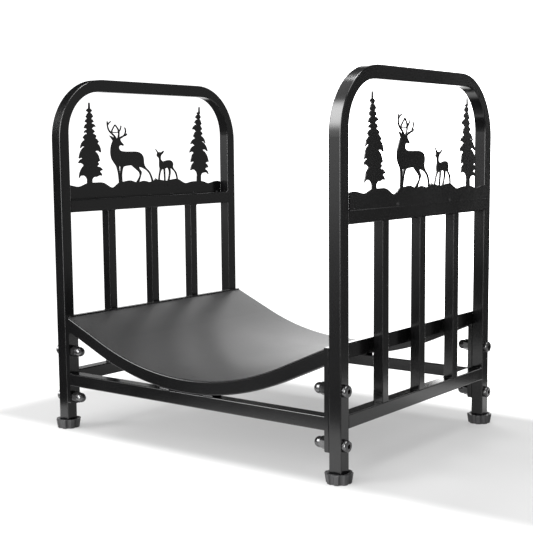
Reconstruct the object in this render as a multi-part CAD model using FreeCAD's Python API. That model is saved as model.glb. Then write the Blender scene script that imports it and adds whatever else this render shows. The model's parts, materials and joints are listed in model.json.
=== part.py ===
import FreeCAD, Part
import math
import os

from FreeCAD import Rotation, Vector

# Firewood log rack in black steel: two arched end frames, each with a cut-out woodland plate,
# bolted to a low base that carries a curved tray on four levelling feet.
# Millimetres, +Z up. The origin is on the floor, at the centre of the rack.
# X runs from one end frame to the other, -Y is the front.

# ---- driving dimensions ----
LENGTH = 447.0            # outside to outside of the two end frames, along X
DEPTH = 347.0             # front to back of an end frame, along Y
HEIGHT = 454.0            # floor to the top of the arches
TUBE = 16.0               # main square tube, outside
TUBE_WALL = 1.2
TUBE_CORNER = 1.3         # outer corner radius of the main tube
SLIM = 13.0               # slim square tube of the slats
SLIM_WALL = 1.0
SLIM_CORNER = 1.0
SHEET = 1.2               # tray sheet
BEND_OUTER = 79.0         # arch corner, outer side
BEND_INNER = 55.0         # arch corner, inner side: the tube flattens a little as it bends
TUBE_END_Z = 10.5         # open lower end of the posts
LOWER_RAIL_Z = 59.5       # underside of the end frames' lower rail
BASE_RAIL_Z = 57.6        # underside of the base's straight rails
UPPER_RAIL_Z = 282.0      # underside of the end frames' upper rail
SLAT_PITCH = 82.4         # three slats, evenly spaced between the posts
TRAY_RADIUS = 345.0       # top of the tray sheet, round its middle
TRAY_ROUND_HALF = 140.0   # beyond this distance from the middle the tray runs straight
STRIP = 6.0               # flat steel of the mounting plates and end bars
STRIP_LOW_Z = 33.0        # lower end of the mounting plates
STRIP_CORNER = 3.0        # its rounded corners
STRIP_EDGE = 1.0          # rounding of the plates' edges against the post
END_BAR_TOP_Z = 149.4
END_BAR_HEIGHT = 17.0
BOLT_Z = (42.2, 102.7)    # two bolts in each post
BOLT_HOLE_R = 4.2
SHANK_R = 3.95
NUT_BORE_R = 4.0
CUTOUT = 1.5              # thickness of the woodland plate
PLATE_PROUD = 1.2         # how far the woodland plate stands out past the frame's outer face

# ---- worked out from them ----
POST_X = LENGTH / 2 - TUBE / 2            # centre of a post
POST_Y = DEPTH / 2 - TUBE / 2
INNER_X = LENGTH / 2 - TUBE               # inner face of an end frame
INNER_Y = DEPTH / 2 - TUBE                # inner face of a post
RAIL_END_X = INNER_X - STRIP              # where the base's rails stop, on the plates
LOWER_RAIL_TOP_Z = LOWER_RAIL_Z + TUBE
BASE_RAIL_TOP_Z = BASE_RAIL_Z + TUBE
UPPER_RAIL_TOP_Z = UPPER_RAIL_Z + TUBE
TRAY_TOP_Z = BASE_RAIL_TOP_Z + TUBE + SHEET
PLATE_X = LENGTH / 2 + PLATE_PROUD - CUTOUT        # inner face of the woodland plate
# The plate stands on the rounded outer corner of the rail, this far below the rail's top.
PLATE_DROP = TUBE_CORNER - math.sqrt(TUBE_CORNER ** 2 - (PLATE_X - LENGTH / 2 + TUBE_CORNER) ** 2)
SIDES = {"left": -1, "right": 1}
ENDS = {"front": -1, "back": 1}

PARTS = {}


def add(name, shape):
    """Keep a finished sub-part under its node name."""
    PARTS[name] = shape


def mirror_x(shape):
    return shape.mirror(Vector(0, 0, 0), Vector(1, 0, 0))


def mirror_y(shape):
    return shape.mirror(Vector(0, 0, 0), Vector(0, 1, 0))


def on_side(shape, side):
    """Turn a shape modelled for the right-hand end into the one for the given side."""
    return shape if side > 0 else mirror_x(shape)


def rounded_square(size, radius):
    """Wire of a square with rounded corners, centred in the XY plane."""
    box = Part.makeBox(size, size, 1.0, Vector(-size / 2, -size / 2, 0))
    corners = [edge for edge in box.Edges if edge.BoundBox.ZLength > 0.5]
    box = box.makeFillet(radius, corners)
    bottom = min(box.Faces, key=lambda face: face.CenterOfMass.z)
    return bottom.OuterWire


def square_tube(size, wall, corner, length):
    """Hollow square tube along +Z from the origin."""
    outer = Part.Face(rounded_square(size, corner)).extrude(Vector(0, 0, length))
    inner_corner = max(corner - wall, 0.3)
    bore = Part.Face(rounded_square(size - 2 * wall, inner_corner)).extrude(Vector(0, 0, length))
    return outer.cut(bore)


def tube_between(start, axis, size, wall, corner, length):
    """Square tube from start along +X, +Y or +Z."""
    tube = square_tube(size, wall, corner, length)
    turn = Rotation(Vector(0, 0, 1), axis)
    tube.Placement = FreeCAD.Placement(start, turn)
    return tube


def x_cylinder(radius, x_low, x_high, y, z):
    return Part.makeCylinder(radius, x_high - x_low, Vector(x_low, y, z), Vector(1, 0, 0))


def wire_2d(runs):
    """Closed wire in the YZ plane from runs of (y, z) points: a run of two points is a straight
    line, and a longer run is one smooth curve. Each run starts where the last one ended."""
    edges = []
    for run in runs:
        points = [Vector(0, y, z) for y, z in run]
        if len(points) == 2:
            edges.append(Part.LineSegment(points[0], points[1]).toShape())
        else:
            curve = Part.BSplineCurve()
            curve.interpolate(points)
            edges.append(curve.toShape())
    return Part.Wire(edges)


# ---- end frames ----
def arch_outline(inset):
    """Outline of the inverted U in the YZ plane, drawn in from its surface by inset."""
    half = DEPTH / 2 - inset
    top = HEIGHT - inset
    inner_half = INNER_Y + inset
    inner_top = HEIGHT - TUBE + inset
    outer_r = BEND_OUTER - inset
    inner_r = BEND_INNER + inset
    diagonal = math.sqrt(0.5)

    def corner(half_width, level, radius, side):
        centre_y = side * (half_width - radius)
        centre_z = level - radius
        mid = Vector(0, centre_y + side * radius * diagonal, centre_z + radius * diagonal)
        low = Vector(0, side * half_width, centre_z)
        high = Vector(0, centre_y, level)
        return low, mid, high

    edges = []

    def line(a, b):
        edges.append(Part.LineSegment(a, b).toShape())

    def side_of_u(half_width, level, radius):
        """Foot to foot over the top."""
        front_low, front_mid, front_high = corner(half_width, level, radius, -1)
        back_low, back_mid, back_high = corner(half_width, level, radius, 1)
        line(Vector(0, -half_width, TUBE_END_Z), front_low)
        edges.append(Part.Arc(front_low, front_mid, front_high).toShape())
        line(front_high, back_high)
        edges.append(Part.Arc(back_high, back_mid, back_low).toShape())
        line(back_low, Vector(0, half_width, TUBE_END_Z))

    side_of_u(half, top, outer_r)
    side_of_u(inner_half, inner_top, inner_r)
    for side in (-1, 1):
        line(Vector(0, side * half, TUBE_END_Z), Vector(0, side * inner_half, TUBE_END_Z))
    return Part.Wire(Part.__sortEdges__(edges))


def arch_tube():
    """One bent square tube from foot to foot, open at both lower ends and drilled for its bolts."""
    body = Part.Face(arch_outline(0.0)).extrude(Vector(TUBE, 0, 0))
    long_edges = []
    for edge in body.Edges:
        lies_in_a_side = edge.BoundBox.XLength < 0.01
        cuts_the_end = edge.BoundBox.ZLength < 0.01 and edge.BoundBox.ZMax < TUBE_END_Z + 1
        if lies_in_a_side and not cuts_the_end:
            long_edges.append(edge)
    body = body.makeFillet(TUBE_CORNER, long_edges)
    bore = Part.Face(arch_outline(TUBE_WALL)).extrude(Vector(TUBE - 2 * TUBE_WALL, 0, 0))
    bore.translate(Vector(TUBE_WALL, 0, 0))
    body = body.cut(bore)
    body.translate(Vector(INNER_X, 0, 0))
    for y in (-POST_Y, POST_Y):
        for z in BOLT_Z:
            body = body.cut(x_cylinder(BOLT_HOLE_R, INNER_X - 1, LENGTH / 2 + 1, y, z))
    return body


def cross_rail(z_low):
    start = Vector(POST_X, -INNER_Y, z_low + TUBE / 2)
    return tube_between(start, Vector(0, 1, 0), TUBE, TUBE_WALL, TUBE_CORNER, 2 * INNER_Y)


def slat(y):
    """Upright between the two cross rails, flush with their outer faces."""
    start = Vector(LENGTH / 2 - SLIM / 2, y, LOWER_RAIL_TOP_Z)
    height = UPPER_RAIL_Z - LOWER_RAIL_TOP_Z
    return tube_between(start, Vector(0, 0, 1), SLIM, SLIM_WALL, SLIM_CORNER, height)


# ---- woodland plate: (y, height above the upper rail) outlines ----
GROUND_FOLD = 17.0        # the figures bend out of the strip's plane at this height
DEER_LEAN = 4.2           # degrees outwards
TREE_LEAN = 1.4           # degrees inwards
BOUGH_TIP = 2.4           # how far a bough's blunt tip is cut back
NOTCH_ROUND = 1.2         # how far the notch under a bough is rounded
LEADER_LENGTH = 8.0       # shoot at the top of a pine
LEADER_HALF_TOP = 1.0
LEADER_HALF_FOOT = 1.5

HILLS = [(-157.9, 18), (-143, 18.5), (-127, 16.5), (-113, 20.5), (-100, 21), (-82, 19.5), (-66, 13.5),
         (-56, 19), (-45, 21), (-32, 22), (-19, 19), (-6, 21), (5, 19), (16, 21.5), (27, 21.5),
         (37, 20), (51, 21.5), (64, 21.5), (79, 15.5), (92, 17), (108, 17.5), (118, 17), (129, 14),
         (143, 16), (157.9, 15.5)]
GRASS = [(13.5, 16), (14.8, 22.5), (16, 21), (17.2, 24.5), (18.2, 21.5), (19.6, 23), (20.5, 16)]

BUCK = [
    [(-66.5, 84), (-60.5, 77)],
    [(-60.5, 77), (-64, 71), (-66, 65), (-66.5, 58.5), (-65, 52), (-61, 46.5), (-57.5, 42)],
    [(-57.5, 42), (-55.8, 36), (-54.8, 28), (-55.3, 12)],
    [(-55.3, 12), (-48.8, 12)],
    [(-48.8, 12), (-48.2, 27), (-46.6, 36), (-44, 41)],
    [(-44, 41), (-39, 42), (-33.5, 42.5), (-28.5, 43)],
    [(-28.5, 43), (-24, 40), (-19, 36.5), (-14.5, 33), (-13.5, 30), (-16, 25), (-22, 12)],
    [(-22, 12), (-18.8, 12)],
    [(-18.8, 12), (-14.5, 22), (-11, 29), (-9.8, 33.5), (-12.5, 37), (-14, 40)],
    [(-14, 40), (-9.5, 39.5), (-3.5, 37.5), (2.5, 34), (6, 30), (8.5, 24), (11, 12)],
    [(11, 12), (14, 12)],
    [(14, 12), (12.5, 20), (9.5, 28.5), (5.5, 34.5), (0.5, 38.5), (-3, 43), (-3.5, 49), (-4, 54),
     (-8, 59), (-15, 61.5), (-26, 62), (-37, 62), (-44, 62.5), (-49, 64.5), (-50, 67.5), (-48.5, 70)],
    [(-48.5, 70), (-45, 70.5), (-42, 69.8)],
    [(-42, 69.8), (-40.8, 71), (-43.5, 74), (-46, 77), (-46.5, 79)],
    [(-46.5, 79), (-42, 83.5)],
    [(-42, 83.5), (-46, 81.8), (-50, 80)],
    [(-50, 80), (-53, 80.5), (-56, 80)],
    [(-56, 80), (-60, 81.8), (-66.5, 84)],
]

# Slit between the buck's forelegs.
FORELEG_SLIT = [
    [(-52.6, 41), (-51.9, 26.5)],
    [(-51.9, 26.5), (-49.6, 41)],
    [(-49.6, 41), (-51, 42.5), (-52.6, 41)],
]

FAWN = [
    [(20.5, 65.5), (24.5, 59.5)],
    [(24.5, 59.5), (23, 56), (24, 54.2)],
    [(24, 54.2), (26.6, 52.5), (27, 47), (26.6, 41), (27.5, 37.5)],
    [(27.5, 37.5), (26, 33), (24, 26), (22.8, 12)],
    [(22.8, 12), (25.2, 12)],
    [(25.2, 12), (26.5, 26), (28.5, 32), (31.5, 36)],
    [(31.5, 36), (35.3, 36)],
    [(35.3, 36), (35.4, 28), (34.8, 12)],
    [(34.8, 12), (37.2, 12)],
    [(37.2, 12), (37.8, 28), (38.2, 37)],
    [(38.2, 37), (41.5, 38), (44.5, 37.5)],
    [(44.5, 37.5), (46, 33.5), (45.5, 28.5), (43, 22), (40.8, 12)],
    [(40.8, 12), (43.4, 12)],
    [(43.4, 12), (46.5, 22), (48.6, 29), (49.4, 33.5), (48.6, 37.5)],
    [(48.6, 37.5), (52, 36.5), (56, 34), (59, 30.5), (61, 25), (61.3, 12)],
    [(61.3, 12), (63.7, 12)],
    [(63.7, 12), (63, 26), (60.5, 32.5), (56, 37), (54.8, 39.5), (55.5, 43.5), (53, 47.5),
     (45.5, 49.3), (39, 48.3), (33.5, 47.8), (30.8, 50), (30.6, 54), (32.2, 57)],
    [(32.2, 57), (35.5, 59), (38, 62.8)],
    [(38, 62.8), (34, 61.5), (31.8, 60)],
    [(31.8, 60), (28.5, 60.8), (25.5, 60.8)],
    [(25.5, 60.8), (23.5, 63), (20.5, 65.5)],
]

# Antlers: each one a line of points with its width at the root and at the tip.
ANTLERS = [
    ([(-54.5, 79), (-57, 83), (-62, 87), (-66.5, 91), (-68.3, 96), (-68.3, 103)], 2.7, 1.3),
    ([(-68, 98), (-65, 101), (-61.5, 103)], 1.6, 1.2),
    ([(-62.5, 86.5), (-60.5, 91), (-57, 95.5), (-54, 98.5)], 1.8, 1.3),
    ([(-50.5, 79), (-48.5, 85), (-48.5, 91), (-51, 95), (-54, 98.5)], 2.7, 1.3),
    ([(-61, 88.5), (-55, 88), (-48.5, 89)], 1.3, 1.4),
    ([(-48.5, 89), (-44.5, 93), (-43, 97.5)], 1.8, 1.2),
    ([(-48, 79.5), (-43, 82), (-38.5, 84), (-35.5, 88), (-35, 92), (-36.5, 95)], 2.7, 1.3),
    ([(-39.5, 83.5), (-35.5, 84), (-32.5, 86.5)], 1.6, 1.2),
]

# Trees: the axis and tip, then the bough tips and the notches under them down each side.
TALL_TREE = {
    "axis": -109.0, "tip": 126.5, "trunk": 8.8,
    "front": [((-6, 116), (-1.5, 113.5)), ((-6, 107.5), (-3.5, 105.5)), ((-8.5, 101.5), (-3.5, 99.5)),
              ((-10.5, 93), (-3.5, 91.5)), ((-11, 87), (-3, 86)), ((-12, 81), (-8.5, 78)),
              ((-17.5, 66), (-8.5, 69.5)), ((-20, 53), (-12, 53.5)), ((-21, 47.5), (-10, 44.5)),
              ((-20, 26), (-15, 31))],
    "back": [((5.5, 116), (2, 113.5)), ((7, 108.5), (3.5, 105.5)), ((8.5, 101.5), (3.5, 99.5)),
             ((12.5, 95.5), (4, 92.5)), ((10.5, 88.5), (6, 86)), ((12.5, 83), (11, 80)),
             ((17, 75), (14.5, 73.5)), ((21.5, 60.5), (10, 63)), ((19, 50), (14.5, 48)),
             ((17, 45.5), (13.5, 42.5)), ((25, 37.5), (18, 35.5)), ((23.5, 30), (13, 28.5))],
}
SHORT_TREE = {
    "axis": 109.5, "tip": 126.5, "trunk": 8.8,
    "front": [((-6, 118), (-3.5, 115.5)), ((-9, 111), (-3.5, 108.5)), ((-11, 103.5), (-5.5, 101)),
              ((-16, 94), (-6.5, 91)), ((-13, 84), (-8.5, 80.5)), ((-20, 72.5), (-9.5, 70.5)),
              ((-22.5, 59.5), (-11.5, 60)), ((-19, 45.5), (-11, 46)), ((-20, 33.5), (-9, 34))],
    "back": [((2, 117.5), (0.5, 115.5)), ((3.5, 111.5), (1, 109)), ((5, 101.5), (2.5, 99.5)),
             ((6.5, 94), (3, 91.5)), ((8.5, 86.5), (4, 85)), ((15.5, 72.5), (6, 76.5)),
             ((20.5, 60.5), (7.5, 64)), ((22.5, 46), (14.5, 44)), ((22, 37.5), (13.5, 35.5)),
             ((23, 26.5), (11, 30))],
}


def plate_solid(wire):
    """Extrude an outline of the plate through its thickness, at its place over the upper rail."""
    solid = Part.Face(wire).extrude(Vector(CUTOUT, 0, 0))
    solid.translate(Vector(PLATE_X, 0, UPPER_RAIL_TOP_Z))
    return solid


def leaned(solid, degrees):
    """Bend a figure about the fold: outwards for a positive angle."""
    solid.rotate(Vector(PLATE_X, 0, UPPER_RAIL_TOP_Z + GROUND_FOLD), Vector(0, 1, 0), degrees)
    return solid


def line_or_arc(points):
    """Straight edge through two (y, z) points, or an arc through three."""
    ends = [Vector(0, y, z) for y, z in points]
    edge = Part.LineSegment(*ends) if len(ends) == 2 else Part.Arc(*ends)
    return edge.toShape()


def bowed(start, end, bow):
    """Arc from start to end that bows to its left by this fraction of its length."""
    middle = ((start[0] + end[0]) / 2 - bow * (end[1] - start[1]),
              (start[1] + end[1]) / 2 + bow * (end[0] - start[0]))
    return line_or_arc([start, middle, end])


def part_way(start, end, distance):
    """The point this far along from start to end, short of the middle."""
    share = min(distance / math.hypot(end[0] - start[0], end[1] - start[1]), 0.4)
    return (start[0] + share * (end[0] - start[0]), start[1] + share * (end[1] - start[1]))


def bough(start, tip, notch, following, sign):
    """One drooping bough: a bulged upper edge, a blunt tip, a scooped underside and a rounded notch.
    Gives its edges and the point where the next one starts."""
    tip_above = part_way(tip, start, BOUGH_TIP)
    tip_below = part_way(tip, notch, BOUGH_TIP)
    notch_above = part_way(notch, tip, NOTCH_ROUND)
    notch_below = part_way(notch, following, NOTCH_ROUND)
    edges = [bowed(start, tip_above, 0.12 * sign),
             bowed(tip_above, tip_below, 0.4 * sign),
             bowed(tip_below, notch_above, -0.13 * sign),
             bowed(notch_above, notch_below, -0.35 * sign)]
    return edges, notch_below


def tree_wire(tree):
    """Pine outline: a leader, the boughs down both sides and a trunk into the ground."""
    axis = tree["axis"]
    root_z = 12.0
    trunk_z = 25.0
    leader_z = tree["tip"] - LEADER_LENGTH
    shoulder_z = tree["tip"] - LEADER_HALF_TOP
    edges = [line_or_arc([(axis - LEADER_HALF_TOP, shoulder_z), (axis, tree["tip"]),
                          (axis + LEADER_HALF_TOP, shoulder_z)])]
    feet = []
    for side in ("front", "back"):
        sign = -1 if side == "front" else 1
        here = (axis + sign * LEADER_HALF_FOOT, leader_z)
        edges.append(line_or_arc([(axis + sign * LEADER_HALF_TOP, shoulder_z), here]))
        trunk_half = tree["trunk"] / 2
        foot = (axis + sign * (trunk_half + 0.4), root_z)
        trunk_top = (axis + sign * trunk_half, trunk_z)
        boughs = [((axis + tip[0], tip[1]), (axis + notch[0], notch[1])) for tip, notch in tree[side]]
        next_tips = [tip for tip, notch in boughs[1:]] + [trunk_top]
        for (tip, notch), following in zip(boughs, next_tips):
            drawn, here = bough(here, tip, notch, following, sign)
            edges += drawn
        edges.append(bowed(here, trunk_top, -0.2 * sign))
        edges.append(line_or_arc([trunk_top, foot]))
        feet.append(foot)
    edges.append(line_or_arc(feet))
    return Part.Wire(Part.__sortEdges__(edges))


def antler_wire(points, root_width, tip_width):
    """Narrow ribbon along the points, tapering from root to tip."""
    count = len(points)
    near_side = []
    far_side = []
    for index, (y, z) in enumerate(points):
        before = points[max(index - 1, 0)]
        after = points[min(index + 1, count - 1)]
        run = math.hypot(after[0] - before[0], after[1] - before[1])
        across = (-(after[1] - before[1]) / run, (after[0] - before[0]) / run)
        half = (root_width + (tip_width - root_width) * index / (count - 1)) / 2
        near_side.append((y + across[0] * half, z + across[1] * half))
        far_side.append((y - across[0] * half, z - across[1] * half))
    far_side.reverse()
    return wire_2d([near_side, [near_side[-1], far_side[0]], far_side, [far_side[-1], near_side[0]]])


def woodland_plate():
    """Ground strip with two pines, a buck and a fawn, cut from one sheet."""
    left_end, right_end = HILLS[0], HILLS[-1]
    strip = plate_solid(wire_2d([
        HILLS,
        [right_end, (right_end[0], -PLATE_DROP)],
        [(right_end[0], -PLATE_DROP), (left_end[0], -PLATE_DROP)],
        [(left_end[0], -PLATE_DROP), left_end],
    ]))
    figures = [leaned(plate_solid(tree_wire(tree)), -TREE_LEAN) for tree in (TALL_TREE, SHORT_TREE)]
    figures.append(leaned(plate_solid(wire_2d(FAWN)), DEER_LEAN * 0.75))
    figures.append(plate_solid(Part.makePolygon([Vector(0, y, z) for y, z in GRASS + GRASS[:1]])))
    buck = plate_solid(wire_2d(BUCK)).cut(plate_solid(wire_2d(FORELEG_SLIT)))
    antlers = [plate_solid(antler_wire(*antler)) for antler in ANTLERS]
    figures.append(leaned(buck.multiFuse(antlers), DEER_LEAN))
    return strip.multiFuse(figures)


# ---- base ----
def lower_rail():
    start = Vector(-RAIL_END_X, -POST_Y, BASE_RAIL_Z + TUBE / 2)
    return tube_between(start, Vector(1, 0, 0), TUBE, TUBE_WALL, TUBE_CORNER, 2 * RAIL_END_X)


def swept_profile(depth_below_top):
    """Points and arcs of a line that runs below the tray's top by a constant distance."""
    radius = TRAY_RADIUS + depth_below_top
    centre_z = TRAY_TOP_Z + TRAY_RADIUS
    angle = math.asin(TRAY_ROUND_HALF / TRAY_RADIUS)
    round_x = radius * math.sin(angle)
    round_z = centre_z - radius * math.cos(angle)
    end_z = round_z + (RAIL_END_X - round_x) * math.tan(angle)
    left = Vector(-RAIL_END_X, 0, end_z)
    right = Vector(RAIL_END_X, 0, end_z)
    left_round = Vector(-round_x, 0, round_z)
    right_round = Vector(round_x, 0, round_z)
    bottom = Vector(0, 0, centre_z - radius)
    edges = [Part.LineSegment(left, left_round).toShape(),
             Part.Arc(left_round, bottom, right_round).toShape(),
             Part.LineSegment(right_round, right).toShape()]
    return left, right, edges


def curved_slab(depth_top, depth_bottom, y_low, y_high):
    """Slab that follows the tray between two depths below its top."""
    top_left, top_right, top_edges = swept_profile(depth_top)
    low_left, low_right, low_edges = swept_profile(depth_bottom)
    ends = [Part.LineSegment(top_left, low_left).toShape(), Part.LineSegment(top_right, low_right).toShape()]
    wire = Part.Wire(Part.__sortEdges__(top_edges + low_edges + ends))
    slab = Part.Face(wire).extrude(Vector(0, y_high - y_low, 0))
    slab.translate(Vector(0, y_low, 0))
    return slab


def curved_rail():
    """Square tube bent to the tray's line; its middle rests on the straight rail."""
    y_low = -DEPTH / 2
    y_high = y_low + TUBE
    body = curved_slab(SHEET, SHEET + TUBE, y_low, y_high)
    along = [edge for edge in body.Edges if edge.BoundBox.XLength > 20 and edge.BoundBox.YLength < 0.01]
    body = body.makeFillet(TUBE_CORNER, along)
    bore = curved_slab(SHEET + TUBE_WALL, SHEET + TUBE - TUBE_WALL, y_low + TUBE_WALL, y_high - TUBE_WALL)
    return body.cut(bore)


def mounting_plate():
    """Flat strip against the inner face of a post, drilled for two bolts. Its lower corners are
    rounded, and so are its long edges against the post."""
    y_low = -DEPTH / 2
    plate = Part.makeBox(STRIP, TUBE, END_BAR_TOP_Z - STRIP_LOW_Z, Vector(RAIL_END_X, y_low, STRIP_LOW_Z))
    lower_corners = [edge for edge in plate.Edges
                     if edge.BoundBox.XLength > STRIP - 0.5 and edge.BoundBox.ZMax < STRIP_LOW_Z + 1]
    plate = plate.makeFillet(STRIP_CORNER, lower_corners)
    post_edges = [edge for edge in plate.Edges
                  if edge.BoundBox.XMin > INNER_X - 0.1 and edge.BoundBox.ZMin < END_BAR_TOP_Z - 1]
    plate = plate.makeFillet(STRIP_EDGE, post_edges)
    for z in BOLT_Z:
        plate = plate.cut(x_cylinder(BOLT_HOLE_R, RAIL_END_X - 1, INNER_X + 1, -POST_Y, z))
    return plate


def end_bar():
    bar = Part.makeBox(STRIP, 2 * INNER_Y, END_BAR_HEIGHT,
                       Vector(RAIL_END_X, -INNER_Y, END_BAR_TOP_Z - END_BAR_HEIGHT))
    return bar


# ---- fasteners ----
HEAD_R = 7.2
HEAD_HEIGHT = 5.4
HEAD_SHOULDER = 3.2        # the head is widest up to here, then rounds over
HEAD_CROWN_R = 4.4
SHANK_LENGTH = 30.0
SOCKET_FLAT = 5.0
SOCKET_DEPTH = 3.8
NUT_FLAT = 13.0
NUT_HEX_HEIGHT = 8.0
NUT_HEIGHT = 17.5
NUT_DOME_R = 6.3
NUT_BORE_DEPTH = 14.5


def revolved(points):
    """Solid of revolution about Z from (radius, z) points; a three-point tuple list makes arcs."""
    edges = []
    for segment in points:
        ends = [Vector(r, 0, z) for r, z in segment]
        edge = Part.LineSegment(*ends) if len(ends) == 2 else Part.Arc(*ends)
        edges.append(edge.toShape())
    face = Part.Face(Part.Wire(edges))
    return face.revolve(Vector(0, 0, 0), Vector(0, 0, 1), 360)


def hexagon_prism(flat, height, z_low):
    corner_r = flat / math.sqrt(3)
    corners = [Vector(corner_r * math.cos(math.radians(60 * k)), corner_r * math.sin(math.radians(60 * k)), z_low)
               for k in range(7)]
    return Part.Face(Part.makePolygon(corners)).extrude(Vector(0, 0, height))


def button_bolt():
    """Button head screw with a hexagon socket: head up, its bearing face at z = 0."""
    chamfer = 0.8
    under_edge = 0.5
    round_r = HEAD_R - HEAD_CROWN_R
    round_z = HEAD_HEIGHT - HEAD_SHOULDER
    diagonal = math.sqrt(0.5)
    shape = revolved([
        [(0, HEAD_HEIGHT), (HEAD_CROWN_R, HEAD_HEIGHT)],
        [(HEAD_CROWN_R, HEAD_HEIGHT),
         (HEAD_CROWN_R + round_r * diagonal, HEAD_SHOULDER + round_z * diagonal),
         (HEAD_R, HEAD_SHOULDER)],
        [(HEAD_R, HEAD_SHOULDER), (HEAD_R - 0.3, under_edge)],
        [(HEAD_R - 0.3, under_edge), (HEAD_R - 0.8, 0)],
        [(HEAD_R - 0.8, 0), (SHANK_R, 0)],
        [(SHANK_R, 0), (SHANK_R, chamfer - SHANK_LENGTH)],
        [(SHANK_R, chamfer - SHANK_LENGTH), (SHANK_R - chamfer, -SHANK_LENGTH)],
        [(SHANK_R - chamfer, -SHANK_LENGTH), (0, -SHANK_LENGTH)],
        [(0, -SHANK_LENGTH), (0, HEAD_HEIGHT)],
    ])
    return shape.cut(hexagon_prism(SOCKET_FLAT, SOCKET_DEPTH + 1, HEAD_HEIGHT - SOCKET_DEPTH))


def cap_nut():
    """Domed nut: its bearing face at z = 0, the dome up."""
    dome_start = NUT_HEIGHT - NUT_DOME_R
    corner_r = NUT_FLAT / math.sqrt(3)
    flat_r = NUT_FLAT / 2
    diagonal = NUT_DOME_R * math.sqrt(0.5)
    hexagon = hexagon_prism(NUT_FLAT, NUT_HEX_HEIGHT, 0)
    chamfered = revolved([
        [(0, 0), (flat_r - 0.1, 0)],
        [(flat_r - 0.1, 0), (corner_r, 0.6)],
        [(corner_r, 0.6), (corner_r, NUT_HEX_HEIGHT - 0.6)],
        [(corner_r, NUT_HEX_HEIGHT - 0.6), (flat_r - 0.1, NUT_HEX_HEIGHT)],
        [(flat_r - 0.1, NUT_HEX_HEIGHT), (0, NUT_HEX_HEIGHT)],
        [(0, NUT_HEX_HEIGHT), (0, 0)],
    ])
    dome = revolved([
        [(0, NUT_HEX_HEIGHT - 1), (NUT_DOME_R, NUT_HEX_HEIGHT - 1)],
        [(NUT_DOME_R, NUT_HEX_HEIGHT - 1), (NUT_DOME_R, dome_start)],
        [(NUT_DOME_R, dome_start), (diagonal, dome_start + diagonal), (0, NUT_HEIGHT)],
        [(0, NUT_HEIGHT), (0, NUT_HEX_HEIGHT - 1)],
    ])
    nut = hexagon.common(chamfered).fuse(dome)
    return nut.cut(Part.makeCylinder(NUT_BORE_R, NUT_BORE_DEPTH))


def at_every_bolt(shape, x, outwards):
    """Copies of a fastener, modelled along +Z, at the eight bolt positions."""
    copies = []
    for side in SIDES.values():
        for end in ENDS.values():
            for z in BOLT_Z:
                copy = shape.copy()
                direction = Vector(side if outwards else -side, 0, 0)
                copy.Placement = FreeCAD.Placement(Vector(side * x, end * POST_Y, z),
                                                   Rotation(Vector(0, 0, 1), direction))
                copies.append(copy)
    return Part.makeCompound(copies)


# ---- levelling feet ----
FOOT_TOP_R = 16.0
FOOT_BOTTOM_R = 14.2
FOOT_HEIGHT = 12.0
FOOT_DISH_R = 12.0
FOOT_RIM_R = 13.2
FOOT_RECESS_R = 8.5
FOOT_RECESS = 0.8
LOBES = 8
GROOVE_R = 4.0
GROOVE_DEPTH = 2.4
STEM_LOW_Z = 3.05
STEM_TOP_Z = 31.0
STEM_BORE_R = 4.0
INSERT_HEIGHT = 16.0


def lobed_foot():
    """Moulded foot turned by hand: flared, scalloped by eight grooves, dished on top for the post's
    end, bored for the stem."""
    turned = revolved([
        [(0, FOOT_RECESS), (FOOT_RECESS_R - 0.8, FOOT_RECESS)],
        [(FOOT_RECESS_R - 0.8, FOOT_RECESS), (FOOT_RECESS_R, 0)],
        [(FOOT_RECESS_R, 0), (FOOT_BOTTOM_R - 1.2, 0)],
        [(FOOT_BOTTOM_R - 1.2, 0), (FOOT_BOTTOM_R - 0.2, 0.4), (FOOT_BOTTOM_R + 0.3, 1.6)],
        [(FOOT_BOTTOM_R + 0.3, 1.6), (FOOT_TOP_R - 0.1, FOOT_HEIGHT - 1.4)],
        [(FOOT_TOP_R - 0.1, FOOT_HEIGHT - 1.4), (FOOT_TOP_R - 0.1, FOOT_HEIGHT - 0.5),
         (FOOT_TOP_R - 0.8, FOOT_HEIGHT)],
        [(FOOT_TOP_R - 0.8, FOOT_HEIGHT), (FOOT_RIM_R, FOOT_HEIGHT)],
        [(FOOT_RIM_R, FOOT_HEIGHT), (FOOT_DISH_R, TUBE_END_Z)],
        [(FOOT_DISH_R, TUBE_END_Z), (0, TUBE_END_Z)],
        [(0, TUBE_END_Z), (0, FOOT_RECESS)],
    ])
    flare = math.degrees(math.atan2(FOOT_TOP_R - FOOT_BOTTOM_R, FOOT_HEIGHT))
    groove = Part.makeCylinder(GROOVE_R, FOOT_HEIGHT * 2, Vector(0, 0, -FOOT_HEIGHT / 2), Vector(0, 0, 1))
    groove.rotate(Vector(0, 0, 0), Vector(0, 1, 0), flare)
    groove.translate(Vector(FOOT_BOTTOM_R + GROOVE_R - GROOVE_DEPTH, 0, 0))
    grooves = []
    for k in range(LOBES):
        copy = groove.copy()
        copy.rotate(Vector(0, 0, 0), Vector(0, 0, 1), k * 360.0 / LOBES)
        grooves.append(copy)
    foot = turned.cut(Part.makeCompound(grooves))
    return foot.cut(Part.makeCylinder(STEM_BORE_R, FOOT_HEIGHT, Vector(0, 0, STEM_LOW_Z - 0.05)))


def leveller_stem():
    chamfer = 0.8
    return revolved([
        [(0, STEM_LOW_Z), (SHANK_R, STEM_LOW_Z)],
        [(SHANK_R, STEM_LOW_Z), (SHANK_R, STEM_TOP_Z - chamfer)],
        [(SHANK_R, STEM_TOP_Z - chamfer), (SHANK_R - chamfer, STEM_TOP_Z)],
        [(SHANK_R - chamfer, STEM_TOP_Z), (0, STEM_TOP_Z)],
        [(0, STEM_TOP_Z), (0, STEM_LOW_Z)],
    ])


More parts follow.
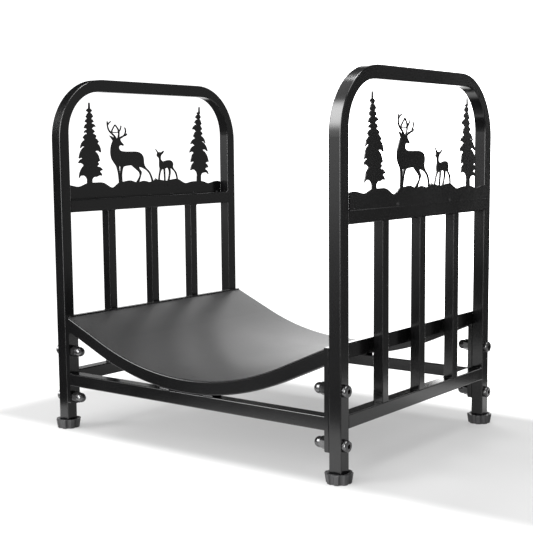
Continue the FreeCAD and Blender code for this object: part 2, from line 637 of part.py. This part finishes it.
def post_insert():
    """Plug pressed into the open end of a post, tapped for the stem."""
    size = TUBE - 2 * TUBE_WALL
    plug = Part.Face(rounded_square(size, TUBE_CORNER - TUBE_WALL)).extrude(Vector(0, 0, INSERT_HEIGHT))
    plug = plug.cut(Part.makeCylinder(STEM_BORE_R, INSERT_HEIGHT))
    plug.translate(Vector(0, 0, TUBE_END_Z))
    return plug


def build():
    arch = arch_tube()
    woodland = woodland_plate()
    lower_cross = cross_rail(LOWER_RAIL_Z)
    upper_cross = cross_rail(UPPER_RAIL_Z)
    slat_places = {"front": -SLAT_PITCH, "middle": 0.0, "back": SLAT_PITCH}
    bar = end_bar()
    for side_name, side in SIDES.items():
        add(f"{side_name}_arch_tube", on_side(arch, side))
        add(f"{side_name}_lower_cross_rail", on_side(lower_cross, side))
        add(f"{side_name}_upper_cross_rail", on_side(upper_cross, side))
        for place, y in slat_places.items():
            add(f"{side_name}_{place}_slat", on_side(slat(y), side))
        add(f"{side_name}_woodland_plate", on_side(woodland, side))
        add(f"{side_name}_end_bar", on_side(bar, side))

    front_rail = lower_rail()
    front_curve = curved_rail()
    plate = mounting_plate()
    for end_name, end in ENDS.items():
        add(f"{end_name}_lower_rail", front_rail if end < 0 else mirror_y(front_rail))
        add(f"{end_name}_curved_rail", front_curve if end < 0 else mirror_y(front_curve))
        for side_name, side in SIDES.items():
            placed = plate if end < 0 else mirror_y(plate)
            add(f"{end_name}_{side_name}_mounting_plate", on_side(placed, side))
    add("tray_sheet", curved_slab(0.0, SHEET, -DEPTH / 2, DEPTH / 2))

    add("frame_bolts", at_every_bolt(button_bolt(), LENGTH / 2, True))
    add("cap_nuts", at_every_bolt(cap_nut(), RAIL_END_X, False))

    pieces = {"post_insert": post_insert(), "leveller_stem": leveller_stem(), "foot": lobed_foot()}
    for end_name, end in ENDS.items():
        for side_name, side in SIDES.items():
            for piece_name, piece in pieces.items():
                placed = piece.copy()
                placed.translate(Vector(side * POST_X, end * POST_Y, 0))
                add(f"{end_name}_{side_name}_{piece_name}", placed)


def write_parts():
    os.makedirs("parts", exist_ok=True)
    for name, shape in PARTS.items():
        if not shape.isValid():
            raise ValueError(f"{name} is not a valid shape")
        shape.exportStep(os.path.join("parts", f"{name}.step"))
        box = shape.BoundBox
        print(f"{name:32s} solids {len(shape.Solids)}  volume {shape.Volume / 1000:8.2f} cm3  "
              f"size {box.XLength:.1f} x {box.YLength:.1f} x {box.ZLength:.1f}")


build()
write_parts()
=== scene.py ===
import json
import math
import random

import bmesh
import bpy
from mathutils import Matrix, Vector


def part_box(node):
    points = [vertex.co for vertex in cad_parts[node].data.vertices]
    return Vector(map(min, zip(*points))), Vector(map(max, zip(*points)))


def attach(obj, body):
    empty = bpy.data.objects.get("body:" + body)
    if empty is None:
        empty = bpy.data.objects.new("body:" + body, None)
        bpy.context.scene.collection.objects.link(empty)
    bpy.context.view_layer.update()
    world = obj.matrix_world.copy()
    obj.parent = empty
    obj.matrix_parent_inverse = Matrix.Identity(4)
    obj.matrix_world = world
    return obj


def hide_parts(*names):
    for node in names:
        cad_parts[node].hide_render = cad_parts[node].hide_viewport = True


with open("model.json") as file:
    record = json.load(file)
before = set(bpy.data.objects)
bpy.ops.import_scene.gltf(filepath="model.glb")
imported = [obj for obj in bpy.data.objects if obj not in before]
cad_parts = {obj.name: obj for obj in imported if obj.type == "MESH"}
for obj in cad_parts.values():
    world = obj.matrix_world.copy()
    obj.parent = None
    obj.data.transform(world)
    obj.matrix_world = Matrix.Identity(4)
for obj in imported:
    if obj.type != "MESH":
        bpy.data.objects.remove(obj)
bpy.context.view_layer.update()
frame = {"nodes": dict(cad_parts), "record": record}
MM = 0.001

# sizes shared with the CAD, in millimetres; the stretch is a ratio
PLATE_SHEET = 1.5
PLATE_PROUD = 1.2
TRAY_RADIUS = 345.0
TRAY_SHEET = 1.2
TRAY_ROUND_HALF = 140.0
CURVE_END_STRETCH = 1.09     # the curved rail is cut at a slant, so its end is taller than the tube
THREAD_PITCH = 1.25

# radii of the weld beads, in millimetres
TUBE_BEAD = 1.2
SIDE_BEAD = 1.1
CURVE_BEAD = 1.3
HEAVY_BEAD = 1.6
SEAM_BEAD = 0.8
FACE_BEAD = 0.9

# how far short of a tube's corners a bead ends, in millimetres
CORNER_INSET = 2.5
RAIL_INSET = 2.0
SLAT_INSET = 1.5

# where the beads and tacks sit along the pieces, in millimetres
PLATE_TACKS_Y = (-150.0, -98.0, -48.5, 3.0, 48.5, 98.0, 150.0)
FACE_TACKS_Y = (-61.5, -59.2, 60.6)
BAR_TACKS_Y = (-120.0, -60.0, 0.0, 60.0, 120.0)
TRAY_TACKS_X = (-160.0, -110.0, -55.0, 0.0, 55.0, 110.0, 160.0)
WEDGE_FAR_X = 41.0
WEDGE_NEAR_X = 28.0
HALF_PLATE_TACK = 0.9
HALF_BAR_TACK = 6.0
HALF_TRAY_TACK = 5.0

# the threaded stems: points around the thread, rings for each turn, depth as a share of the pitch
THREAD_AROUND = 28
THREAD_RINGS = 6
THREAD_DEPTH = 0.55
CREST_FLAT = 1.15            # above 1, the crest of the thread has a narrow flat

# the floor sheet, in metres: its place and the grey band of painted shadow across it, which stands for
# the rack's shade
FLOOR_CENTRE = (0.08, 0.02, 0.0)
FLOOR_RADII = (0.56, 0.40)
FLOOR_SEGMENTS = 96
SHADOW_BAND_HALF = 0.178
SHADOW_BAND_FADE = 0.062
SHADOW_BAND_START = -0.42
SHADOW_BAND_START_FADE = 0.10
SHADOW_BAND_GLOW = 0.38
FLOOR_GLOW = 1.15

# the camera: metres, degrees, lens and sensor in millimetres, and shares of the frame's width
CAMERA_PLACE = (0.88228, -1.14304, 0.36326)
YAW, PITCH, ROLL = 36.14, 6.68, -0.29     # turned left, tilted down, rolled
SENSOR_WIDTH = 36.0
LENS = 75.21
SHIFT_X, SHIFT_Y = -0.0688, 0.0226


# ---- node materials ----
class Nodes:
    """Short-hand for building one material's node tree."""

    def __init__(self, name):
        self.material = bpy.data.materials.new(name)
        self.material.use_nodes = True
        self.tree = self.material.node_tree
        self.shader = next(n for n in self.tree.nodes if n.type == "BSDF_PRINCIPLED")
        coordinates = self.add("ShaderNodeTexCoord")
        self.position = coordinates.outputs["Object"]

    def add(self, kind, inputs=(), **settings):
        node = self.tree.nodes.new(kind)
        for key, value in settings.items():
            setattr(node, key, value)
        for name, value in dict(inputs).items():
            self.join(value, node.inputs[name])
        return node

    def join(self, value, socket):
        if isinstance(value, bpy.types.NodeSocket):
            self.tree.links.new(value, socket)
        else:
            socket.default_value = value

    def set(self, **values):
        """Set or link the shader's sockets; underscores stand for the spaces in their names."""
        for name, value in values.items():
            self.join(value, self.shader.inputs[name.replace("_", " ")])

    def noise(self, scale, detail, roughness):
        node = self.add("ShaderNodeTexNoise", {
            "Vector": self.position, "Scale": scale, "Detail": detail, "Roughness": roughness})
        return node.outputs["Fac"]

    def range(self, value, low, high, to_low, to_high):
        node = self.add("ShaderNodeMapRange", {
            "Value": value, "From Min": low, "From Max": high, "To Min": to_low, "To Max": to_high})
        return node.outputs["Result"]

    def smooth_step(self, value, low, high):
        """0 at low and 1 at high, eased at both ends."""
        node = self.add("ShaderNodeMapRange", {
            "Value": value, "From Min": low, "From Max": high}, interpolation_type="SMOOTHSTEP")
        return node.outputs["Result"]

    def ramp(self, value, stops):
        node = self.add("ShaderNodeValToRGB", {"Fac": value})
        ramp = node.color_ramp
        while len(ramp.elements) < len(stops):
            ramp.elements.new(1.0)
        for element, (place, colour) in zip(ramp.elements, stops):
            element.position = place
            element.color = (*colour, 1.0)
        return node.outputs["Color"]

    def math(self, operation, first, second):
        node = self.add("ShaderNodeMath", operation=operation)
        self.join(first, node.inputs[0])
        self.join(second, node.inputs[1])
        return node.outputs["Value"]

    def bump(self, height, distance):
        node = self.add("ShaderNodeBump", {"Height": height, "Distance": distance, "Strength": 1.0})
        return node.outputs["Normal"]

    def edge_wear(self, radius):
        """How far a point is from a sharp outer edge: 0 on faces, towards 1 on edges."""
        bevel = self.add("ShaderNodeBevel", {"Radius": radius}, samples=4)
        geometry = self.add("ShaderNodeNewGeometry")
        dot = self.add("ShaderNodeVectorMath", operation="DOT_PRODUCT")
        self.tree.links.new(bevel.outputs["Normal"], dot.inputs[0])
        self.tree.links.new(geometry.outputs["Normal"], dot.inputs[1])
        return self.range(dot.outputs["Value"], 1.0, 0.8, 0.0, 1.0)


def powder_coat(name, dark, light, rough_low, rough_high, peel):
    """Baked-on black powder: faint cloudiness, fine orange peel and slightly paler edges."""
    m = Nodes(name)
    clouds = m.noise(9.0, 4.0, 0.55)
    skin = m.noise(420.0, 2.0, 0.5)
    grain = m.noise(1500.0, 1.0, 0.4)
    shade = m.math("ADD", clouds, m.math("MULTIPLY", m.edge_wear(0.0009), 0.22))
    dullness = m.math("ADD", clouds, m.math("MULTIPLY", skin, 0.35))
    relief = m.math("ADD", skin, m.math("MULTIPLY", grain, 0.3))
    m.set(Base_Color=m.ramp(shade, [(0.30, dark), (0.72, light)]),
          Roughness=m.range(dullness, 0.4, 0.9, rough_low, rough_high),
          IOR=1.5,
          Normal=m.bump(relief, peel))
    return m.material


def black_fastener():
    """Black oxide steel, oiled, with faint patches and a fine grain."""
    m = Nodes("black_fastener")
    patches = m.noise(160.0, 4.0, 0.6)
    fine = m.noise(900.0, 2.0, 0.5)
    m.set(Base_Color=m.ramp(patches, [(0.3, (0.075, 0.075, 0.077)), (0.75, (0.15, 0.15, 0.15))]),
          Metallic=0.9,
          Roughness=m.range(patches, 0.3, 0.8, 0.16, 0.28),
          Normal=m.bump(fine, 0.00002))
    return m.material


def moulded_plastic():
    """Black moulded plastic: faintly cloudy, with a fine spark-eroded texture."""
    m = Nodes("moulded_plastic")
    clouds = m.noise(60.0, 3.0, 0.5)
    texture = m.noise(2200.0, 2.0, 0.6)
    m.set(Base_Color=m.ramp(clouds, [(0.3, (0.022, 0.022, 0.023)), (0.8, (0.040, 0.040, 0.041))]),
          Roughness=m.range(texture, 0.3, 0.7, 0.42, 0.58),
          IOR=1.48,
          Normal=m.bump(texture, 0.00004))
    return m.material


def zinc_plate():
    """Bright zinc on steel, with dull and shiny patches."""
    m = Nodes("zinc_plate")
    patches = m.noise(220.0, 4.0, 0.6)
    m.set(Base_Color=m.ramp(patches, [(0.3, (0.42, 0.42, 0.41)), (0.75, (0.62, 0.62, 0.60))]),
          Metallic=1.0,
          Roughness=m.range(patches, 0.3, 0.8, 0.28, 0.45),
          Normal=m.bump(patches, 0.00002))
    return m.material


def floor_glow():
    """Pale floor that glows evenly, but for a soft grey band of painted shadow under the rack and to the
    right of it, where the floor glows less to stand for the rack's shade.
    """
    m = Nodes("pale_floor")
    # painted shadow: the floor glows less in a band under the rack and out to its right
    axes = m.add("ShaderNodeSeparateXYZ", {"Vector": m.position})
    from_middle = m.math("ABSOLUTE", axes.outputs["Y"], 0.0)
    beside = m.smooth_step(from_middle, SHADOW_BAND_HALF, SHADOW_BAND_HALF + SHADOW_BAND_FADE)
    before = m.smooth_step(axes.outputs["X"], SHADOW_BAND_START, SHADOW_BAND_START - SHADOW_BAND_START_FADE)
    clear = m.math("MAXIMUM", beside, before)
    soft = m.noise(2.0, 2.0, 0.5)
    m.set(Base_Color=m.ramp(soft, [(0.3, (0.19, 0.19, 0.19)), (0.7, (0.21, 0.21, 0.21))]),
          Roughness=m.range(soft, 0.3, 0.7, 0.75, 0.85),
          Specular_IOR_Level=0.1,
          Emission_Color=(1.0, 1.0, 1.0, 1.0),
          # the glow drops to the painted shadow's level inside the band and rises to full glow outside
          # it
          Emission_Strength=m.range(clear, 0.0, 1.0, SHADOW_BAND_GLOW, FLOOR_GLOW))
    return m.material


FRAME_PAINT = powder_coat("frame_powder_coat", (0.0020, 0.0020, 0.0021), (0.0042, 0.0042, 0.0044),
                          0.14, 0.20, 0.000015)
TRAY_PAINT = powder_coat("tray_powder_coat", (0.0080, 0.0080, 0.0083), (0.0115, 0.0115, 0.0119),
                         0.34, 0.40, 0.00003)
FASTENER = black_fastener()
PLASTIC = moulded_plastic()
ZINC = zinc_plate()

SLOT_LOOKS = {"frame_steel": FRAME_PAINT, "tray_steel": TRAY_PAINT, "fastener_steel": FASTENER,
              "foot_plastic": PLASTIC, "stem_steel": ZINC}

for part in frame["record"]["subparts"]:
    node = frame["nodes"][part["node"]]
    node.data.materials.clear()
    node.data.materials.append(SLOT_LOOKS[part["material_slot"]])


# ---- extra pieces ----
def mesh_object(name, bm, material, body, smooth=True):
    mesh = bpy.data.meshes.new(name)
    bm.to_mesh(mesh)
    bm.free()
    for polygon in mesh.polygons:
        polygon.use_smooth = smooth
    mesh.materials.append(material)
    piece = bpy.data.objects.new(name, mesh)
    bpy.context.collection.objects.link(piece)
    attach(piece, body)
    return piece


class Beads:
    """Weld beads gathered in one mesh. Points are in millimetres."""

    SIDES = 8
    STEP = 0.7            # between two rings of a bead
    RIPPLE_PITCH = 1.7    # one ripple for each drop of weld metal
    RIPPLE = 0.10

    def __init__(self):
        self.bm = bmesh.new()
        self.random = random.Random(7)

    def add(self, start, end, radius):
        """A rounded bead from start to end, rippled like a string of drops."""
        start, end = Vector(start), Vector(end)
        along = (end - start).normalized()
        side = along.cross(Vector((0.3, 0.5, 0.8))).normalized()
        other = along.cross(side)
        length = (end - start).length + 2 * radius
        start = start - along * radius
        rings = max(6, round(length / self.STEP))
        phase = self.random.uniform(0.0, 2 * math.pi)
        size = radius * self.random.uniform(0.92, 1.08)
        rows = []
        for index in range(1, rings):
            done = length * index / rings
            from_end = min(done, length - done, radius)
            roundness = math.sqrt(1.0 - (1.0 - from_end / radius) ** 2)
            ripple = 1.0 + self.RIPPLE * math.sin(2 * math.pi * done / self.RIPPLE_PITCH + phase)
            reach = size * roundness * ripple
            centre = start + along * done
            row = []
            for k in range(self.SIDES):
                angle = 2 * math.pi * k / self.SIDES
                place = centre + side * (reach * math.cos(angle)) + other * (reach * math.sin(angle))
                row.append(self.bm.verts.new(place * MM))
            rows.append(row)
        first = self.bm.verts.new(start * MM)
        last = self.bm.verts.new((start + along * length) * MM)
        for k in range(self.SIDES):
            after = (k + 1) % self.SIDES
            self.bm.faces.new((first, rows[0][after], rows[0][k]))
            self.bm.faces.new((last, rows[-1][k], rows[-1][after]))
            for near, far in zip(rows, rows[1:]):
                self.bm.faces.new((near[k], near[after], far[after], far[k]))

    def finish(self, name):
        bmesh.ops.recalc_face_normals(self.bm, faces=self.bm.faces)
        return mesh_object(name, self.bm, FRAME_PAINT, "rack")


def box_mm(node):
    """Lowest and highest corners of a CAD node, in millimetres."""
    return [Vector(corner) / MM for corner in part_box(node)]


def frame_welds(side, sign):
    """Beads that hold the slats, cross rails and woodland plate of one end frame."""
    beads = Beads()
    rail_low, rail_high = box_mm(f"{side}_lower_cross_rail")
    upper_low, upper_high = box_mm(f"{side}_upper_cross_rail")
    half_depth = rail_high.y
    outer = max(abs(rail_low.x), abs(rail_high.x))
    inner = outer - (rail_high.x - rail_low.x)
    for place in ("front", "middle", "back"):
        low, high = box_mm(f"{side}_{place}_slat")
        slat_inner = outer - (high.x - low.x)
        for z, shift in ((low.z, 0.2), (high.z, -0.2)):
            level = z + shift
            beads.add((sign * slat_inner, low.y + SLAT_INSET, level),
                      (sign * slat_inner, high.y - SLAT_INSET, level), TUBE_BEAD)
            for y in (low.y - 0.1, high.y + 0.1):
                beads.add((sign * (slat_inner + 2.0), y, level),
                          (sign * (outer - 2.2), y, level), SIDE_BEAD)
    for y in (-half_depth, half_depth):
        for z in (rail_low.z, rail_high.z, upper_low.z):
            beads.add((sign * (inner + CORNER_INSET), y, z),
                      (sign * (outer - CORNER_INSET), y, z), TUBE_BEAD)
        beads.add((sign * (inner + CORNER_INSET), y, upper_high.z),
                  (sign * (outer - 4.0), y, upper_high.z), TUBE_BEAD)
    plate_low, plate_high = box_mm(f"{side}_woodland_plate")
    plate_inner = outer + PLATE_PROUD - PLATE_SHEET
    plate_outer = outer + PLATE_PROUD
    foot = upper_high.z + 0.9
    for y in PLATE_TACKS_Y:
        beads.add((sign * plate_inner, y - HALF_PLATE_TACK, foot),
                  (sign * plate_inner, y + HALF_PLATE_TACK, foot), HEAVY_BEAD)
    for y in FACE_TACKS_Y:
        beads.add((sign * plate_outer, y, upper_high.z + 0.4),
                  (sign * plate_outer, y, upper_high.z + 2.8), FACE_BEAD)
    seam = plate_low.z - 0.1
    beads.add((sign * (outer + 0.4), plate_low.y + 1.0, seam),
              (sign * (outer + 0.4), plate_high.y - 1.0, seam), SEAM_BEAD)
    beads.finish(f"{side}_frame_welds")


def tray_bottom(x):
    """Height of the underside of the tray sheet and its slope, at a distance from the middle."""
    lowest = box_mm("tray_sheet")[0].z
    radius = TRAY_RADIUS + TRAY_SHEET
    bent = min(abs(x), TRAY_ROUND_HALF)
    rise = radius - math.sqrt(radius ** 2 - bent ** 2)
    slope = bent / math.sqrt(radius ** 2 - bent ** 2)
    return lowest + rise + (abs(x) - bent) * slope, math.copysign(slope, x)


def base_welds():
    """Beads that hold the rails, mounting plates and end bars of the base together."""
    beads = Beads()
    for end in ("front", "back"):
        rail_low, rail_high = box_mm(f"{end}_lower_rail")
        faces = (rail_low.y, rail_high.y)
        outer_y, inner_y = sorted(faces, key=abs, reverse=True)
        rail_end = rail_high.x
        for sign in (-1, 1):
            for y in (outer_y, inner_y):
                inwards = 0.4 if y < (outer_y + inner_y) / 2 else -0.4
                beads.add((sign * WEDGE_FAR_X, y + inwards, rail_high.z + 1.3),
                          (sign * WEDGE_NEAR_X, y + inwards, rail_high.z + 0.5), HEAVY_BEAD)
            end_x = sign * (rail_end - 0.1)
            for z in (rail_low.z, rail_high.z):
                beads.add((end_x, rail_low.y + RAIL_INSET, z),
                          (end_x, rail_high.y - RAIL_INSET, z), TUBE_BEAD)
            beads.add((end_x, inner_y, rail_low.z + CORNER_INSET),
                      (end_x, inner_y, rail_high.z - CORNER_INSET), SIDE_BEAD)
            curve_low = tray_bottom(rail_end)[0] - (rail_high.z - rail_low.z) * CURVE_END_STRETCH
            beads.add((end_x, rail_low.y + RAIL_INSET, curve_low),
                      (end_x, rail_high.y - RAIL_INSET, curve_low), CURVE_BEAD)
            sheet_top = tray_bottom(rail_end)[0] + TRAY_SHEET
            beads.add((end_x, rail_low.y + 3.0, sheet_top),
                      (end_x, rail_high.y - 3.0, sheet_top), SEAM_BEAD)
    for side, sign in (("left", -1), ("right", 1)):
        bar_low, bar_high = box_mm(f"{side}_end_bar")
        bar_inner = sign * min(abs(bar_low.x), abs(bar_high.x))
        for y in (bar_low.y, bar_high.y):
            beads.add((bar_inner, y, bar_low.z + 2.0), (bar_inner, y, bar_high.z - 5.0), SIDE_BEAD)
        level = tray_bottom(bar_inner)[0]
        for y in BAR_TACKS_Y:
            beads.add((bar_inner - sign * 0.3, y - HALF_BAR_TACK, level),
                      (bar_inner - sign * 0.3, y + HALF_BAR_TACK, level), CURVE_BEAD)
    for x in TRAY_TACKS_X:
        level, slope = tray_bottom(x)
        for end in ("front", "back"):
            rail = box_mm(f"{end}_lower_rail")
            y = min((rail[0].y, rail[1].y), key=abs)
            beads.add((x - HALF_TRAY_TACK, y, level - HALF_TRAY_TACK * slope),
                      (x + HALF_TRAY_TACK, y, level + HALF_TRAY_TACK * slope), TUBE_BEAD)
    beads.finish("base_welds")


def threaded_stem(corner):
    """Threaded rod that stands for the plain cylinder of a leveller stem: a 60 degree V thread."""
    low, high = box_mm(f"{corner}_leveller_stem")
    centre = (low + high) / 2
    crest = (high.x - low.x) / 2
    root = crest - THREAD_DEPTH * THREAD_PITCH
    rings = round((high.z - low.z) / THREAD_PITCH * THREAD_RINGS)
    bm = bmesh.new()
    rows = []
    for ring in range(rings + 1):
        z = low.z + (high.z - low.z) * ring / rings
        lead = root + min(z - low.z, high.z - z)
        row = []
        for k in range(THREAD_AROUND):
            turn = k / THREAD_AROUND
            phase = ((z - low.z) / THREAD_PITCH - turn) % 1.0
            height = 1.0 - abs(2.0 * phase - 1.0)
            radius = min(root + (crest - root) * min(height * CREST_FLAT, 1.0), lead)
            angle = 2 * math.pi * turn
            place = Vector((centre.x + radius * math.cos(angle), centre.y + radius * math.sin(angle), z))
            row.append(bm.verts.new(place * MM))
        rows.append(row)
    for near, far in zip(rows, rows[1:]):
        for k in range(THREAD_AROUND):
            after = (k + 1) % THREAD_AROUND
            bm.faces.new((near[k], near[after], far[after], far[k]))
    bm.faces.new(reversed(rows[0]))
    bm.faces.new(rows[-1])
    bmesh.ops.recalc_face_normals(bm, faces=bm.faces)
    stem = mesh_object(f"{corner}_threaded_stem", bm, ZINC, f"{corner}_stem", smooth=False)
    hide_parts(f"{corner}_leveller_stem")


frame_welds("left", -1)
frame_welds("right", 1)
base_welds()
for corner in ("front_left", "front_right", "back_left", "back_right"):
    threaded_stem(corner)


# ---- the room ----
def floor_sheet():
    """Oval sheet of pale floor under the rack; seen from the camera, the backdrop past it is as pale."""
    bm = bmesh.new()
    bmesh.ops.create_circle(bm, cap_ends=True, segments=FLOOR_SEGMENTS, radius=1.0)
    for corner in bm.verts:
        corner.co.x *= FLOOR_RADII[0]
        corner.co.y *= FLOOR_RADII[1]
    mesh = bpy.data.meshes.new("studio_floor")
    bm.to_mesh(mesh)
    bm.free()
    mesh.materials.append(floor_glow())
    floor = bpy.data.objects.new("studio_floor", mesh)
    floor.location = FLOOR_CENTRE
    bpy.context.collection.objects.link(floor)


class WorldNodes:
    """Short-hand for the world's node tree."""

    def __init__(self):
        self.world = bpy.data.worlds.new("studio")
        self.world.use_nodes = True
        self.tree = self.world.node_tree
        coordinates = self.tree.nodes.new("ShaderNodeTexCoord")
        self.direction = coordinates.outputs["Generated"]
        axes = self.tree.nodes.new("ShaderNodeSeparateXYZ")
        self.tree.links.new(self.direction, axes.inputs["Vector"])
        self.across = axes.outputs["X"]
        self.depth = axes.outputs["Y"]
        self.height = axes.outputs["Z"]

    def math(self, operation, first, second):
        node = self.tree.nodes.new("ShaderNodeMath")
        node.operation = operation
        for value, socket in zip((first, second), node.inputs):
            if isinstance(value, bpy.types.NodeSocket):
                self.tree.links.new(value, socket)
            else:
                socket.default_value = value
        return node.outputs["Value"]

    def curve(self, value, stops):
        """Brightness along a value, from (value, level) stops."""
        total = None
        for (start, low), (end, high) in zip(stops, stops[1:]):
            node = self.tree.nodes.new("ShaderNodeMapRange")
            node.interpolation_type = "SMOOTHSTEP"
            node.inputs["From Min"].default_value = start
            node.inputs["From Max"].default_value = end
            node.inputs["To Min"].default_value = low if total is None else 0.0
            node.inputs["To Max"].default_value = high if total is None else high - low
            self.tree.links.new(value, node.inputs["Value"])
            step = node.outputs["Result"]
            total = step if total is None else self.math("ADD", total, step)
        return total

    def patch(self, direction, inner, outer, level):
        """Round bright patch about a direction; its edge fades between two angles in degrees."""
        dot = self.tree.nodes.new("ShaderNodeVectorMath")
        dot.operation = "DOT_PRODUCT"
        dot.inputs[1].default_value = Vector(direction).normalized()
        self.tree.links.new(self.direction, dot.inputs[0])
        return self.curve(dot.outputs["Value"], [(math.cos(math.radians(outer)), 0.0),
                                                 (math.cos(math.radians(inner)), level)])


def studio_world():
    """Dim room: a tall strip light to the front left, a pale right wall, a white backdrop behind the
    rack, round soft lights behind, in front and above, and a dark flat that shades the upper left."""
    w = WorldNodes()
    strip_heights = w.curve(w.height, [(-0.12, 0.20), (0.0, 0.9), (0.22, 2.2), (0.50, 2.2), (1.0, 1.0)])
    strip_width = w.curve(w.across, [(-0.70, 0.0), (-0.62, 1.0), (-0.565, 1.0), (-0.525, 0.12)])
    in_front = w.math("MULTIPLY", strip_heights, strip_width)
    behind = w.curve(w.height, [(0.0, 0.08), (0.6, 0.05)])
    share = w.curve(w.depth, [(-0.05, 0.0), (0.35, 1.0)])
    room = w.math("ADD", w.math("MULTIPLY", behind, share),
                  w.math("MULTIPLY", in_front, w.math("SUBTRACT", 1.0, share)))
    backdrop = w.patch((-0.585, 0.802, -0.116), 20.0, 25.0, 1.25)
    back_light = w.patch((-0.136, 0.969, 0.208), 23.0, 33.0, 2.9)
    soft_box = w.patch((-0.545, -0.839, 0.10), 5.0, 14.0, 0.8)
    high_box = w.patch((-0.53, -0.68, 0.51), 8.0, 22.0, 13.0)
    front_light = w.patch((0.0, -0.98, 0.20), 10.0, 24.0, 14.0)
    ceiling_light = w.patch((0.15, -0.10, 0.98), 12.0, 26.0, 6.0)
    right_wall = w.curve(w.across, [(0.42, 0.0), (0.80, 0.32)])
    total = w.math("ADD", room, right_wall)
    for light in (backdrop, back_light, soft_box, high_box, front_light, ceiling_light):
        total = w.math("ADD", total, light)
    dark_flat = w.math("MULTIPLY", w.curve(w.across, [(-0.70, 1.0), (-0.62, 0.0)]),
                       w.curve(w.height, [(0.13, 0.0), (0.22, 1.0)]))
    total = w.math("MULTIPLY", total, w.math("SUBTRACT", 1.0, dark_flat))
    background = next(n for n in w.tree.nodes if n.type == "BACKGROUND")
    w.tree.links.new(total, background.inputs["Color"])
    bpy.context.scene.world = w.world


def key_sun(direction, spread, strength):
    """Soft key light that shines along the direction; spread is its apparent width in degrees."""
    data = bpy.data.lights.new("key_sun", "SUN")
    data.angle = math.radians(spread)
    data.energy = strength
    light = bpy.data.objects.new("key_sun", data)
    light.rotation_euler = Vector(direction).to_track_quat("-Z", "Y").to_euler()
    bpy.context.collection.objects.link(light)


floor_sheet()
studio_world()
key_sun((0.40, -0.25, -0.88), 18.0, 1.6)


# ---- camera ----
def photo_camera():
    """Camera at the reference view, a little above the rack and off its right front corner."""
    yaw, pitch, roll = (math.radians(angle) for angle in (YAW, PITCH, ROLL))
    ahead = Vector((-math.sin(yaw) * math.cos(pitch), math.cos(yaw) * math.cos(pitch), -math.sin(pitch)))
    right = Vector((math.cos(yaw), math.sin(yaw), 0.0))
    up = right.cross(ahead)
    rolled_right = right * math.cos(roll) + up * math.sin(roll)
    rolled_up = up * math.cos(roll) - right * math.sin(roll)
    data = bpy.data.cameras.new("photo_camera")
    data.sensor_width = SENSOR_WIDTH
    data.lens = LENS
    data.shift_x = SHIFT_X
    data.shift_y = SHIFT_Y
    data.clip_start = 0.05
    data.clip_end = 100.0
    camera = bpy.data.objects.new("photo_camera", data)
    axes = Matrix((rolled_right, rolled_up, -ahead)).transposed().to_4x4()
    camera.matrix_world = Matrix.Translation(CAMERA_PLACE) @ axes
    bpy.context.collection.objects.link(camera)
    bpy.context.scene.camera = camera


photo_camera()
bpy.context.scene.view_settings.view_transform = "Standard"
